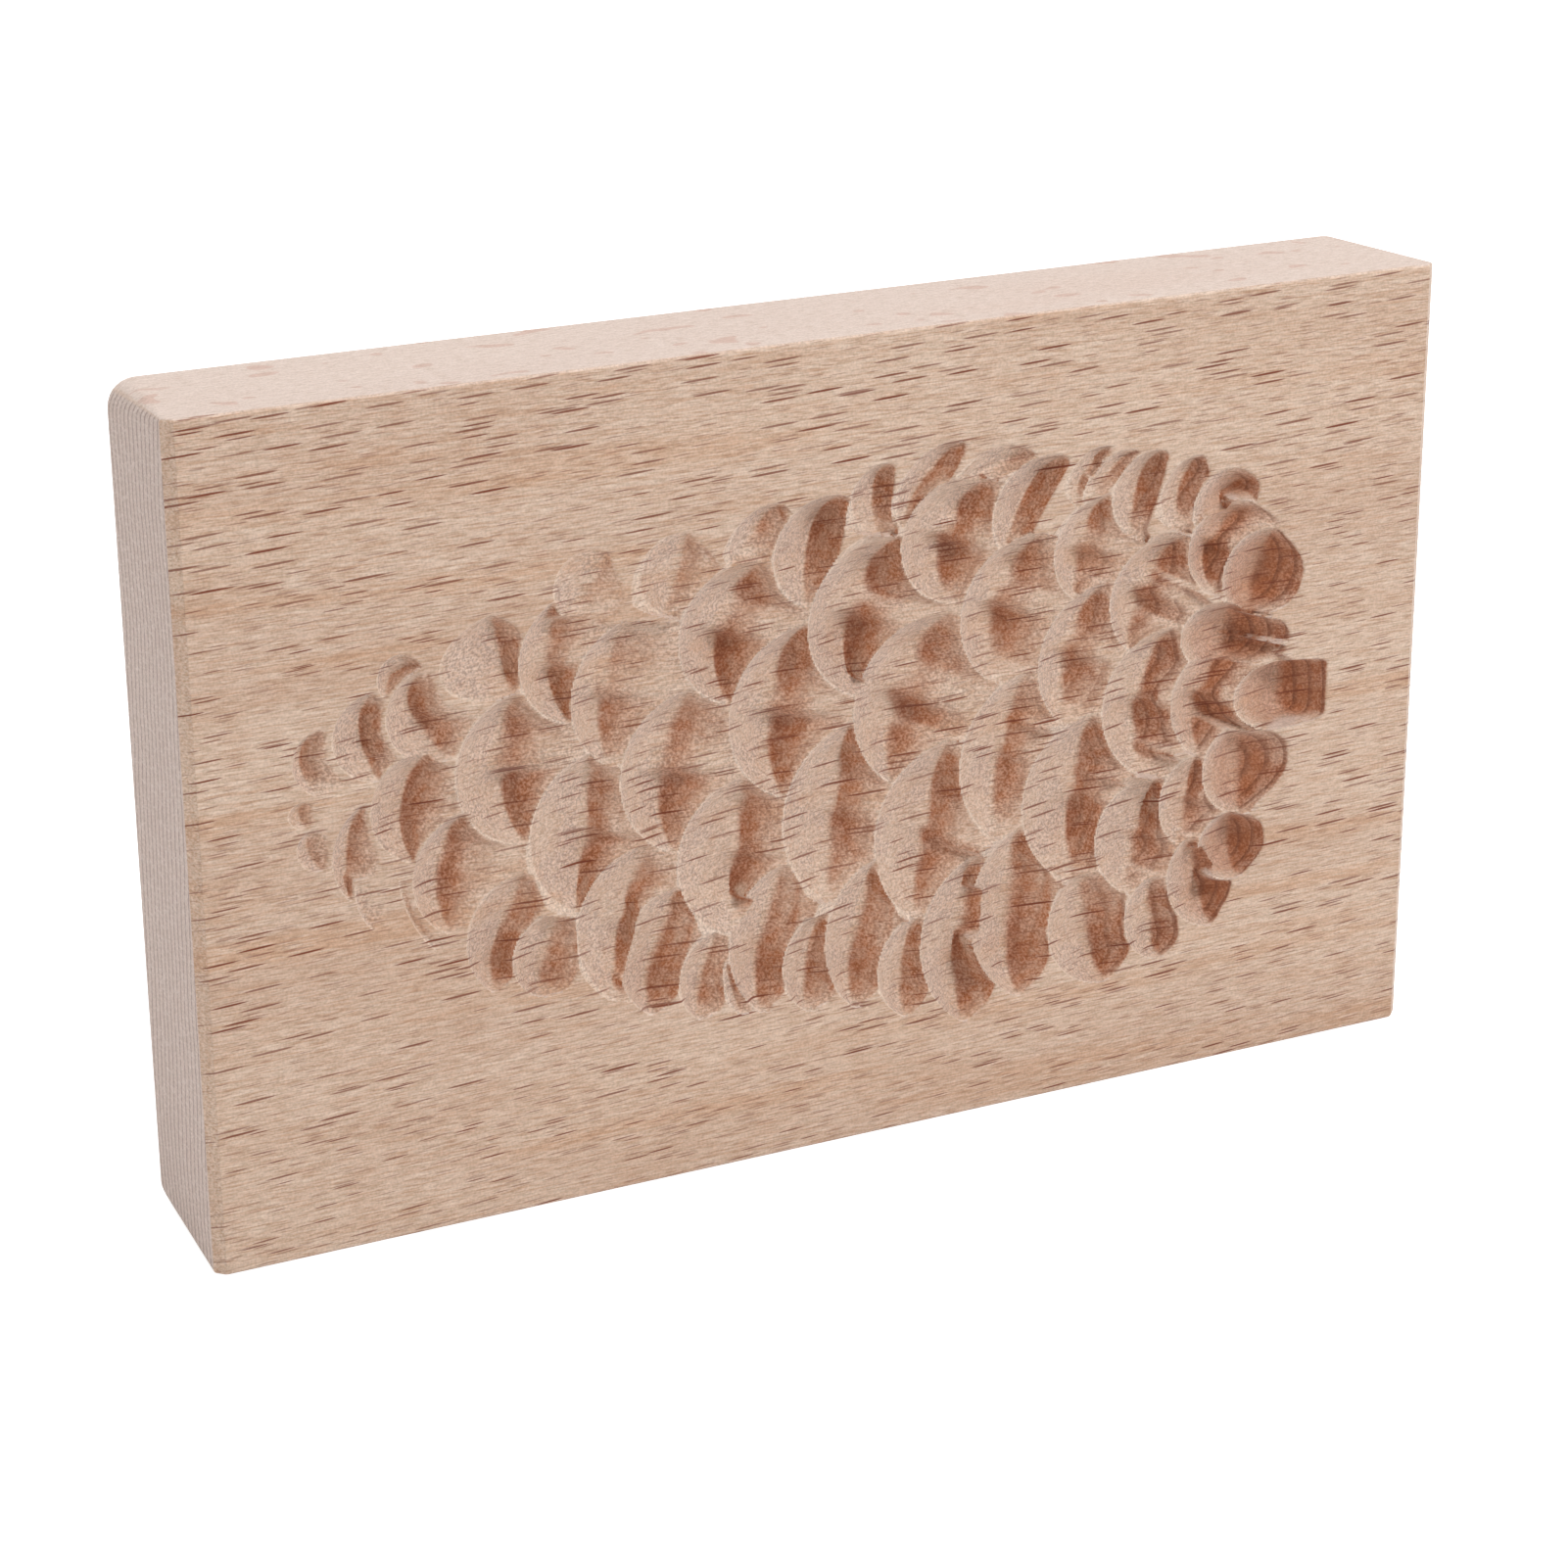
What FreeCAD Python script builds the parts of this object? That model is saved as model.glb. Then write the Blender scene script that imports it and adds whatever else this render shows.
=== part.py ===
"""Wooden cookie mould: one beech board that stands on its long edge, with a pine cone carved into its front.

The board is centred on X and Y and stands on Z = 0. Its carved face looks towards -Y.
The cone lies along X, its tip to the left and its stem to the right.
"""
import FreeCAD, Part
import math
import os

# Board, in millimetres
board_length = 160.0
board_height = 99.0
board_thickness = 22.7
back_edge_radius = 3.3
front_end_chamfer = 1.2
front_long_edge_radius = 0.5

# Place of the carving: the middle of the cone on the face
cone_middle_x = 8.0
cone_middle_z = 49.0

# The ridges between the scales sink towards the middle of the cone, as on a shallow dome
cone_half_length = 62.0
cone_half_height = 34.0
ridge_depth_at_middle = 2.2

# Form of one scale: from a curved rim the wood falls to a valley, then rises again to the next rims
fall_per_rim_bow = 0.5
longest_bow = 9.0
fall_per_reach = 0.12
longest_reach = 5.0
shortest_rise = 1.2
farthest_next_rim = 4.0
overlong_rise = 2.5
rim_end_play = 0.8
nearest_next_rim = 0.3
steps_along_valley = 8
least_wall_depth = 0.1
widest_stretch = 3.0

# How the kinds of scale differ: the valley's place as a share of the reach behind the line through
# the rim's ends, how full the valley and the far edge are towards those ends, how deep the scale
# is beside the others, the ridge that parts it in two lobes (a share of the fall), and whether
# the hollow runs on to the next rim when that lies beyond its own reach
tip_form = {
    "valley": 0.1, "fullness": 2.4, "far_fullness": 8.0,
    "depth": 0.9, "ridge": 0.1, "runs_on": False,
}
leaf_form = {
    "valley": 0.3, "fullness": 2.4, "far_fullness": 2.5,
    "depth": 0.5, "ridge": 0.0, "runs_on": False,
}
upper_border_form = {
    "valley": 0.25, "fullness": 2.6, "far_fullness": 4.0,
    "depth": 0.9, "ridge": 0.0, "runs_on": False,
}
lobed_form = {
    "valley": -0.14, "fullness": 2.4, "far_fullness": 20.0,
    "depth": 1.0, "ridge": 0.5, "runs_on": True,
}
lower_form = {
    "valley": 0.3, "fullness": 2.4, "far_fullness": 20.0,
    "depth": 1.0, "ridge": 0.25, "runs_on": True,
}
lower_border_form = {
    "valley": 0.62, "fullness": 4.0, "far_fullness": 8.0,
    "depth": 0.9, "ridge": 0.0, "runs_on": False,
}
end_form = {
    "valley": 0.45, "fullness": 3.0, "far_fullness": 2.6,
    "depth": 1.25, "ridge": 0.0, "runs_on": False,
}
stem_form = {
    "valley": 0.4, "fullness": 7.0, "far_fullness": 20.0,
    "depth": 1.15, "ridge": 0.0, "runs_on": False,
}
ridge_place = 0.02
ridge_width = 0.3

# The cutters stand this far out of the face
cutter_lead = 1.0

# Each scale, in millimetres from the middle of the cone: the ends of its rim with the rim's
# foremost point between them, then how far its hollow may reach behind the line through the ends
tip_scales = [
    ((-74.8, 5.8), (-76.8, 4.0), (-74.8, 2.5), 1.5),
    ((-74.5, 2.3), (-76.0, 0.0), (-73.0, -2.6), 2.5),
    ((-72.5, 13.8), (-75.8, 11.0), (-73.5, 6.2), 6.0),
    ((-66.5, 17.0), (-71.3, 12.5), (-66.0, 6.6), 3.0),
    ((-60.5, 19.2), (-65.8, 19.0), (-65.5, 16.5), 1.5),
    ((-61.5, 18.5), (-65.0, 14.0), (-57.5, 8.0), 5.0),
    ((-67.8, 4.5), (-71.8, -0.5), (-70.0, -7.0), 3.5),
    ((-69.5, -4.8), (-69.3, -7.5), (-67.5, -11.0), 3.5),
    ((-59.5, 9.3), (-67.2, 1.5), (-62.5, -3.7), 5.0),
    ((-64.5, -5.0), (-63.8, -8.5), (-60.0, -15.0), 3.0),
    ((-55.5, 1.2), (-62.7, -6.0), (-58.5, -13.0), 7.0),
]
leaf_scales = [
    ((-52.5, 23.8), (-58.0, 21.3), (-50.0, 14.3), 3.5),
    ((-38.0, 29.0), (-43.5, 28.5), (-44.0, 22.5), 4.5),
    ((-28.5, 30.0), (-34.3, 26.5), (-31.5, 20.5), 4.5),
]
upper_border_scales = [
    ((-16.5, 31.6), (-22.5, 29.0), (-23.0, 24.5), 3.0),
    ((-9.0, 31.6), (-17.3, 26.0), (-13.5, 18.5), 1.5),
    ((-3.0, 34.7), (-7.7, 30.8), (-4.5, 26.3), 1.0),
    ((7.0, 35.9), (-1.0, 32.5), (-1.5, 27.0), 1.5),
    ((16.5, 33.3), (8.5, 34.0), (5.5, 30.5), 1.0),
    ((20.5, 32.6), (11.3, 27.5), (12.5, 21.5), 1.0),
    ((26.5, 33.0), (21.3, 30.5), (21.2, 26.8), 0.6),
    ((30.5, 32.0), (24.3, 30.2), (23.0, 26.8), 1.0),
    ((34.0, 31.6), (27.3, 27.5), (29.5, 21.5), 1.5),
    ((39.3, 30.3), (34.5, 28.0), (35.5, 21.5), 2.5),
    ((47.5, 25.8), (40.3, 27.2), (38.5, 21.8), 3.2),
]
upper_scales = [
    ((-45.0, 24.2), (-49.0, 18.5), (-43.0, 9.3), 5.0),
    ((-36.0, 20.5), (-42.7, 10.5), (-38.5, 3.5), 8.5),
    ((-19.0, 25.0), (-29.2, 16.0), (-23.0, 8.2), 8.5),
    ((-1.0, 25.5), (-12.6, 15.8), (-6.0, 6.3), 8.5),
    ((10.5, 31.0), (-0.8, 23.8), (4.5, 16.5), 3.5),
    ((18.0, 23.3), (7.6, 14.5), (11.5, 5.7), 7.5),
    ((26.5, 27.0), (19.8, 20.5), (23.0, 14.0), 4.0),
    ((37.5, 20.4), (27.8, 13.3), (30.5, 6.7), 3.5),
    ((46.5, 23.6), (38.2, 18.8), (41.0, 12.8), 6.5),
]
middle_scales = [
    ((-50.0, 14.0), (-57.0, 6.3), (-49.0, -4.0), 6.5),
    ((-28.0, 10.8), (-36.6, 2.0), (-30.5, -8.5), 7.0),
    ((-13.0, 16.4), (-22.7, 6.3), (-16.0, -4.5), 8.0),
    ((6.0, 15.0), (-6.4, 4.5), (-1.7, -5.0), 6.5),
    ((27.0, 15.8), (18.3, 6.5), (21.5, -1.3), 5.5),
    ((36.5, 8.8), (27.3, 0.5), (32.0, -9.3), 2.5),
    ((46.5, 5.8), (36.8, -0.5), (40.5, -8.3), 7.0),
]
lower_scales = [
    ((-40.7, 5.4), (-48.3, -4.5), (-43.0, -13.5), 6.5),
    ((-34.0, -7.0), (-42.9, -16.5), (-39.0, -24.8), 2.5),
    ((-21.0, -1.0), (-29.7, -10.5), (-23.7, -20.0), 6.5),
    ((-7.0, 3.3), (-15.9, -7.7), (-11.0, -18.0), 5.0),
    ((6.0, -1.0), (-3.7, -11.0), (0.7, -22.5), 5.0),
    ((16.3, 6.0), (8.1, -2.5), (11.5, -14.0), 3.0),
    ((25.8, -0.8), (16.3, -10.5), (22.5, -21.7), 3.5),
    ((35.0, -10.3), (26.3, -16.5), (29.5, -24.0), 4.5),
    ((40.5, -8.0), (35.3, -13.0), (37.5, -19.3), 3.5),
]
lower_border_scales = [
    ((-49.0, -7.5), (-56.6, -14.5), (-53.8, -20.8), 2.5),
    ((-45.0, -13.4), (-51.1, -18.0), (-48.0, -22.5), 3.8),
    ((-29.5, -13.0), (-37.7, -21.0), (-34.3, -27.5), 3.0),
    ((-25.0, -19.3), (-30.1, -24.5), (-28.2, -29.3), 3.0),
    ((-24.0, -23.0), (-24.4, -26.5), (-22.5, -30.0), 2.0),
    ((-16.0, -12.7), (-23.5, -22.0), (-20.0, -30.0), 3.0),
    ((-11.0, -19.7), (-16.6, -25.7), (-14.0, -31.0), 3.4),
    ((-3.5, -14.2), (-10.8, -23.0), (-7.7, -31.8), 3.6),
    ((1.5, -22.5), (-4.0, -28.5), (-0.8, -34.5), 2.8),
    ((9.5, -16.2), (1.9, -27.0), (7.3, -36.8), 4.4),
    ((15.7, -13.7), (8.7, -23.0), (14.8, -34.9), 4.6),
    ((23.5, -21.0), (19.4, -28.5), (27.5, -35.3), 4.8),
    ((34.0, -23.0), (30.1, -27.8), (35.2, -33.8), 3.3),
]
end_scales = [
    ((50.0, 19.8), (43.2, 15.0), (46.5, 9.0), 6.2),
    ((44.5, 11.0), (37.8, 7.5), (43.0, 2.2), 8.6),
    ((44.3, -5.6), (41.3, -10.5), (46.5, -16.8), 7.6),
    ((45.0, -16.2), (40.8, -19.6), (46.3, -25.0), 4.6),
    ((38.7, -19.0), (36.2, -24.5), (42.5, -30.8), 5.0),
]
stem_cut = ((51.5, 2.3), (45.5, -1.9), (51.5, -6.1), 6.9)

front_y = -board_thickness / 2
flush = 1e-6


def beech_board():
    """The board: back edges well rounded, front ends lightly chamfered, long front edges barely broken."""
    corner = FreeCAD.Vector(-board_length / 2, front_y, 0)
    board = Part.makeBox(board_length, board_thickness, board_height, corner)
    board = board.makeFillet(back_edge_radius, edges_at(board, -front_y))
    upright = [edge for edge in edges_at(board, front_y) if spread(edge, "X") < flush]
    board = board.makeChamfer(front_end_chamfer, upright)
    lengthwise = [edge for edge in edges_at(board, front_y) if spread(edge, "Z") < flush]
    return board.makeFillet(front_long_edge_radius, lengthwise)


def edges_at(solid, y):
    """The edges that lie wholly in the plane Y = y."""
    return [edge for edge in solid.Edges if all(abs(end.Y - y) < flush for end in edge.Vertexes)]


def spread(edge, axis):
    """How far apart an edge's ends are along one axis."""
    ends = [getattr(end, axis) for end in edge.Vertexes]
    return max(ends) - min(ends)


def ridge_depth(point):
    """How far below the face the ridges lie at a point of the cone."""
    across = (point.x / cone_half_length) ** 2 + (point.z / cone_half_height) ** 2
    return ridge_depth_at_middle * max(0.0, 1.0 - across)


def across(point, direction):
    """A share of one direction in a vector."""
    return point.x * direction.x + point.z * direction.z


class Scale:
    """One scale of the cone: its rim's circle, and a frame on the line through the rim's ends."""

    def __init__(self, outline, form):
        upper, foremost, lower = [FreeCAD.Vector(x, 0, z) for x, z in outline[:3]]
        circle = Part.Circle(upper, foremost, lower)
        self.form = form
        self.reach = outline[3]
        self.upper, self.lower = upper, lower
        self.middle = (upper + lower) / 2
        self.half_width = (upper - lower).Length / 2
        self.along = (upper - lower).normalize()
        self.inward = FreeCAD.Vector(self.along.z, 0, -self.along.x)
        self.centre, self.radius = circle.Center, circle.Radius
        self.inset = across(self.centre - self.middle, self.inward)
        self.bow = self.radius - self.inset
        self.half_angle = math.atan2(self.half_width, self.inset) + rim_end_play / self.radius

    def rim_place(self, share):
        """Where the rim lies in front of the line through its ends, at a share of the half width."""
        if self.inset > 0:
            return self.inset - math.sqrt(self.radius ** 2 - (share * self.half_width) ** 2)
        return -self.bow * math.sqrt(1 - share ** 2)

    def valley_place(self, share):
        """Where the valley lies behind the line through the rim's ends."""
        return self.form["valley"] * self.reach * (1 - abs(share) ** self.form["fullness"])

    def own_rise(self, share):
        """How far this scale's own hollow reaches behind its valley."""
        far_edge = self.reach * (1 - abs(share) ** self.form["far_fullness"])
        return max(far_edge - self.valley_place(share), shortest_rise)

    def fall(self, share):
        """How far the valley lies below the rims."""
        from_bow = fall_per_rim_bow * min(self.bow, longest_bow)
        from_reach = fall_per_reach * min(self.reach, longest_reach)
        hump = self.form["ridge"] * math.exp(-((share - ridge_place) / ridge_width) ** 2)
        deepest = self.form["depth"] * (from_bow + from_reach)
        return deepest * (1 - abs(share) ** self.form["fullness"]) * (1 - hump)

    def crossing(self, start, heading):
        """How far from a start the rim is met along a heading, or None."""
        offset = start - self.centre
        nearest = across(offset, heading)
        spare = nearest ** 2 - across(offset, offset) + self.radius ** 2
        if spare < 0:
            return None
        for distance in (-nearest - math.sqrt(spare), -nearest + math.sqrt(spare)):
            hit = offset + heading * distance
            angle = math.atan2(across(hit, self.along), -across(hit, self.inward))
            if distance > nearest_next_rim and abs(angle) < self.half_angle:
                return distance
        return None


def rise_length(scale, start, share, others):
    """How far the wood rises from the valley at a start, up to the next rim or the hollow's own reach."""
    own = scale.own_rise(share)
    met = [other.crossing(start, scale.inward) for other in others]
    met = [distance for distance in met if distance and distance < own + farthest_next_rim]
    if not met:
        return own
    return min(min(met), own + overlong_rise if scale.form["runs_on"] else own)


def on_board(point, depth):
    """A point of the cone, set at a depth in the board."""
    return FreeCAD.Vector(cone_middle_x + point.x, front_y + depth, cone_middle_z + point.z)


def drawn_out(valley, depth, edge):
    """The slope from the valley over its edge, drawn on until it is clear of the face."""
    stretch = (depth + cutter_lead) / max(depth - ridge_depth(edge), least_wall_depth)
    return on_board(valley + (edge - valley) * min(stretch, widest_stretch), -cutter_lead)


def scale_cutter(scale, others):
    """The solid that cuts one scale: a crescent trough, open at the face."""
    valleys, fronts, backs = [], [], []
    for step in range(1, steps_along_valley):
        share = math.cos(math.pi * step / steps_along_valley)
        on_line = scale.middle + scale.along * share * scale.half_width
        valley = on_line + scale.inward * scale.valley_place(share)
        rim = on_line + scale.inward * scale.rim_place(share)
        top = valley + scale.inward * rise_length(scale, valley, share, others)
        depth = ridge_depth(valley) + scale.fall(share)
        valleys.append(on_board(valley, depth))
        fronts.append(drawn_out(valley, depth, rim))
        backs.append(drawn_out(valley, depth, top))
    ends = [on_board(end, -cutter_lead) for end in (scale.upper, scale.lower)]
    return trough(ends, fronts, valleys, backs)


def trough(ends, fronts, valleys, backs):
    """A closed solid: a flat top outline, and slopes from both of its sides down to the valley."""
    first, last = ends
    faces = [flat_face([first] + fronts + [last] + backs[::-1])]
    for side in (fronts, backs):
        faces.append(flat_face([first, side[0], valleys[0]]))
        faces.append(flat_face([last, side[-1], valleys[-1]]))
        for i in range(len(valleys) - 1):
            faces.append(flat_face([side[i], side[i + 1], valleys[i]]))
            faces.append(flat_face([side[i + 1], valleys[i + 1], valleys[i]]))
    solid = Part.Solid(Part.makeShell(faces))
    return solid if solid.Volume > 0 else solid.reversed()


def flat_face(points):
    """A flat face on a closed outline."""
    return Part.Face(Part.makePolygon(points + points[:1]))


def cookie_mould():
    """The board with every scale and the stem cut out of its face."""
    scales = []
    for form, outlines in (
        (tip_form, tip_scales),
        (leaf_form, leaf_scales),
        (upper_border_form, upper_border_scales),
        (lobed_form, upper_scales),
        (lobed_form, middle_scales),
        (lower_form, lower_scales),
        (lower_border_form, lower_border_scales),
        (end_form, end_scales),
        (stem_form, [stem_cut]),
    ):
        scales.extend(Scale(outline, form) for outline in outlines)
    cutters = [scale_cutter(scale, [other for other in scales if other is not scale]) for scale in scales]
    return beech_board().cut(cutters).Solids[0]


os.makedirs("parts", exist_ok=True)
mould = cookie_mould()
mould.exportStep("parts/mould_board.step")
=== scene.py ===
import math

import bpy
import bmesh
from mathutils import Matrix, Vector


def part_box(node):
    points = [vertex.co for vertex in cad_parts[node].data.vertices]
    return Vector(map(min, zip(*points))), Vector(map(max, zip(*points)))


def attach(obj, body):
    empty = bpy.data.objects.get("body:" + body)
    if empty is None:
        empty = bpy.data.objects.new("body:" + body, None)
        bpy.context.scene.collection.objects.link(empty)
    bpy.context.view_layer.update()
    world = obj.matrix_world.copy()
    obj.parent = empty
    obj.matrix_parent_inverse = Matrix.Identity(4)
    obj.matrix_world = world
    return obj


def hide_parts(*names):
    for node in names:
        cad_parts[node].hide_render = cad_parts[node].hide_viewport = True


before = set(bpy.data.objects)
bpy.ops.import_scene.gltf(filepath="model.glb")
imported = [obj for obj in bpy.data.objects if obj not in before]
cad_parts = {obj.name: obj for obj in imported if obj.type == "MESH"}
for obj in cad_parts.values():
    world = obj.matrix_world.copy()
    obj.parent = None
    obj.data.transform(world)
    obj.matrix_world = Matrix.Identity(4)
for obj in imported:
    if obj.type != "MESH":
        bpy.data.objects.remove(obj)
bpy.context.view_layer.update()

board_low, board_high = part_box("mould_board")
MM = 0.001

# Edges of the board, and its four corners, which are nearly square in front and rounder towards the back
back_edge_radius = 3.3
front_corner_radius = 0.5
front_end_chamfer = 1.2
front_long_edge_radius = 0.45
sections_of_back_edge = 7
sections_of_front_edge = 3
steps_of_corner = 7
least_corner = 0.02
corner_growth = 4
sharp_from_degrees = 38

# Place of the carving: the middle of the cone on the face
cone_middle_x = 8.0
cone_middle_z = 49.0

# The ridges between the scales sink towards the middle of the cone, as on a shallow dome
cone_half_length = 62.0
cone_half_height = 34.0
ridge_depth_at_middle = 2.2

# Form of one scale: from a curved rim the wood falls to a valley, then rises again to the next rims.
# It is deeper with more bow in its rim and more reach behind it, each up to a longest one. It rises as
# far as its own reach, or runs on to a rim that lies near beyond it. Falls and rises have a least length
fall_per_rim_bow = 0.5
longest_bow = 9.0
fall_per_reach = 0.12
longest_reach = 5.0
shortest_rise = 1.2
farthest_next_rim = 4.0
overlong_rise = 2.5
rim_end_play = 0.8
nearest_next_rim = 0.3
slope_swell = 0.82
steps_across = 60
valley_softness = 0.55
shortest_fall = 0.4
farthest_outside = -1.2

# How the kinds of scale differ: the valley's place as a share of the reach behind the line through
# the rim's ends, how full the valley and the far edge are towards those ends, how deep the scale
# is beside the others, the ridge that parts it in two lobes at the valley and further back (shares
# of the fall), how hollow the rise is, how much deeper it is towards its upper end (below nothing:
# its lower end), and whether it runs on to a next rim beyond its own reach
tip_form = {
    "valley": -0.3, "fullness": 2.4, "far_fullness": 8.0, "depth": 1.0,
    "ridge": 0.1, "ridge_back": 0.2, "hollow": 1.6, "lean": 0.0, "runs_on": False,
}
leaf_form = {
    "valley": 0.2, "fullness": 3.2, "far_fullness": 2.5, "depth": 0.52,
    "ridge": 0.0, "ridge_back": 0.0, "hollow": 1.5, "lean": 0.0, "runs_on": False,
}
upper_border_form = {
    "valley": -0.1, "fullness": 2.6, "far_fullness": 4.0, "depth": 1.0,
    "ridge": 0.0, "ridge_back": 0.0, "hollow": 0.95, "lean": 0.6, "runs_on": False,
}
lobed_form = {
    "valley": -0.14, "fullness": 2.4, "far_fullness": 20.0, "depth": 1.0,
    "ridge": 0.5, "ridge_back": 0.35, "hollow": 1.2, "lean": 0.0, "runs_on": True,
}
lower_form = {
    "valley": 0.3, "fullness": 2.4, "far_fullness": 20.0, "depth": 0.92,
    "ridge": 0.3, "ridge_back": 0.35, "hollow": 1.15, "lean": 0.0, "runs_on": True,
}
lower_border_form = {
    "valley": 0.0, "fullness": 6.0, "far_fullness": 6.0, "depth": 0.85,
    "ridge": 0.0, "ridge_back": 0.0, "hollow": 0.85, "lean": -0.45, "runs_on": False,
}
end_form = {
    "valley": 0.3, "fullness": 3.0, "far_fullness": 2.6, "depth": 1.25,
    "ridge": 0.0, "ridge_back": 0.0, "hollow": 0.95, "lean": -0.25, "runs_on": False,
}
stem_form = {
    "valley": 0.4, "fullness": 7.0, "far_fullness": 20.0, "depth": 1.15,
    "ridge": 0.0, "ridge_back": 0.0, "hollow": 0.9, "lean": 0.0, "runs_on": False,
}

# The ridge between two lobes: its place and its widths below and above it, as shares of the scale's
# half width, how it grows from the rim to the valley, and how soon behind the valley it is full
ridge_place = 0.02
ridge_width_below = 0.15
ridge_width_above = 0.36
ridge_growth = 1.5
ridge_back_run = 0.5

# The stretch of the face that is carved, how fine its surface is, and how far around the three points
# of a scale it is worked out
carved_low_x, carved_high_x = -71.0, 76.0
carved_low_z, carved_high_z = 10.0, 88.0
surface_step = 0.21
kept_share_of_faces = 0.3
margin_in_front, margin_behind, margin_past_ends = 5, 12, 4
depth_where_uncut = -9.0

# Each scale, in millimetres from the middle of the cone: the ends of its rim with the rim's
# foremost point between them, then how far its hollow may reach behind the line through the ends
tip_scales = [
    ((-74.8, 5.8), (-76.8, 4.0), (-74.8, 2.5), 1.5),
    ((-74.5, 2.3), (-76.0, 0.0), (-73.0, -2.6), 2.5),
    ((-72.5, 13.8), (-75.8, 11.0), (-73.5, 6.2), 6.0),
    ((-66.5, 17.0), (-71.3, 12.5), (-66.0, 6.6), 3.0),
    ((-60.5, 19.2), (-65.8, 19.0), (-65.5, 16.5), 1.5),
    ((-61.5, 18.5), (-65.0, 14.0), (-57.5, 8.0), 5.0),
    ((-67.8, 4.5), (-71.8, -0.5), (-70.0, -7.0), 3.5),
    ((-69.5, -4.8), (-69.3, -7.5), (-67.5, -11.0), 3.5),
    ((-59.5, 9.3), (-67.2, 1.5), (-62.5, -3.7), 5.0),
    ((-64.5, -5.0), (-63.8, -8.5), (-60.0, -15.0), 3.0),
    ((-55.5, 1.2), (-62.7, -6.0), (-58.5, -13.0), 7.0),
]
leaf_scales = [
    ((-52.5, 23.8), (-58.0, 21.3), (-50.0, 14.3), 3.5),
    ((-38.0, 29.0), (-43.5, 28.5), (-44.0, 22.5), 4.5),
    ((-28.5, 30.0), (-34.3, 26.5), (-31.5, 20.5), 4.5),
]
upper_border_scales = [
    ((-16.5, 31.6), (-22.5, 29.0), (-23.0, 24.5), 3.0),
    ((-9.0, 31.6), (-17.3, 26.0), (-13.5, 18.5), 1.5),
    ((-3.0, 34.7), (-7.7, 30.8), (-4.5, 26.3), 1.0),
    ((7.0, 35.9), (-1.0, 32.5), (-1.5, 27.0), 1.5),
    ((16.5, 33.3), (8.5, 34.0), (5.5, 30.5), 1.0),
    ((20.5, 32.6), (11.3, 27.5), (12.5, 21.5), 1.0),
    ((26.5, 33.0), (21.3, 30.5), (21.2, 26.8), 0.6),
    ((30.5, 32.0), (24.3, 30.2), (23.0, 26.8), 1.0),
    ((34.0, 31.6), (27.3, 27.5), (29.5, 21.5), 1.5),
    ((39.3, 30.3), (34.5, 28.0), (35.5, 21.5), 2.5),
    ((47.5, 25.8), (40.3, 27.2), (38.5, 21.8), 3.2),
]
upper_scales = [
    ((-45.0, 24.2), (-49.0, 18.5), (-43.0, 9.3), 5.0),
    ((-36.0, 20.5), (-42.7, 10.5), (-38.5, 3.5), 8.5),
    ((-19.0, 25.0), (-29.2, 16.0), (-23.0, 8.2), 8.5),
    ((-1.0, 25.5), (-12.6, 15.8), (-6.0, 6.3), 8.5),
    ((10.5, 31.0), (-0.8, 23.8), (4.5, 16.5), 3.5),
    ((18.0, 23.3), (7.6, 14.5), (11.5, 5.7), 7.5),
    ((26.5, 27.0), (19.8, 20.5), (23.0, 14.0), 4.0),
    ((37.5, 20.4), (27.8, 13.3), (30.5, 6.7), 3.5),
    ((46.5, 23.6), (38.2, 18.8), (41.0, 12.8), 6.5),
]
middle_scales = [
    ((-50.0, 14.0), (-57.0, 6.3), (-49.0, -4.0), 6.5),
    ((-28.0, 10.8), (-36.6, 2.0), (-30.5, -8.5), 7.0),
    ((-13.0, 16.4), (-22.7, 6.3), (-16.0, -4.5), 8.0),
    ((6.0, 15.0), (-6.4, 4.5), (-1.7, -5.0), 6.5),
    ((27.0, 15.8), (18.3, 6.5), (21.5, -1.3), 5.5),
    ((36.5, 8.8), (27.3, 0.5), (32.0, -9.3), 2.5),
    ((46.5, 5.8), (36.8, -0.5), (40.5, -8.3), 7.0),
]
lower_scales = [
    ((-40.7, 5.4), (-48.3, -4.5), (-43.0, -13.5), 6.5),
    ((-34.0, -7.0), (-42.9, -16.5), (-39.0, -24.8), 2.5),
    ((-21.0, -1.0), (-29.7, -10.5), (-23.7, -20.0), 6.5),
    ((-7.0, 3.3), (-15.9, -7.7), (-11.0, -18.0), 5.0),
    ((6.0, -1.0), (-3.7, -11.0), (0.7, -22.5), 5.0),
    ((16.3, 6.0), (8.1, -2.5), (11.5, -14.0), 3.0),
    ((25.8, -0.8), (16.3, -10.5), (22.5, -21.7), 3.5),
    ((35.0, -10.3), (26.3, -16.5), (29.5, -24.0), 4.5),
    ((40.5, -8.0), (35.3, -13.0), (37.5, -19.3), 3.5),
]
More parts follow.
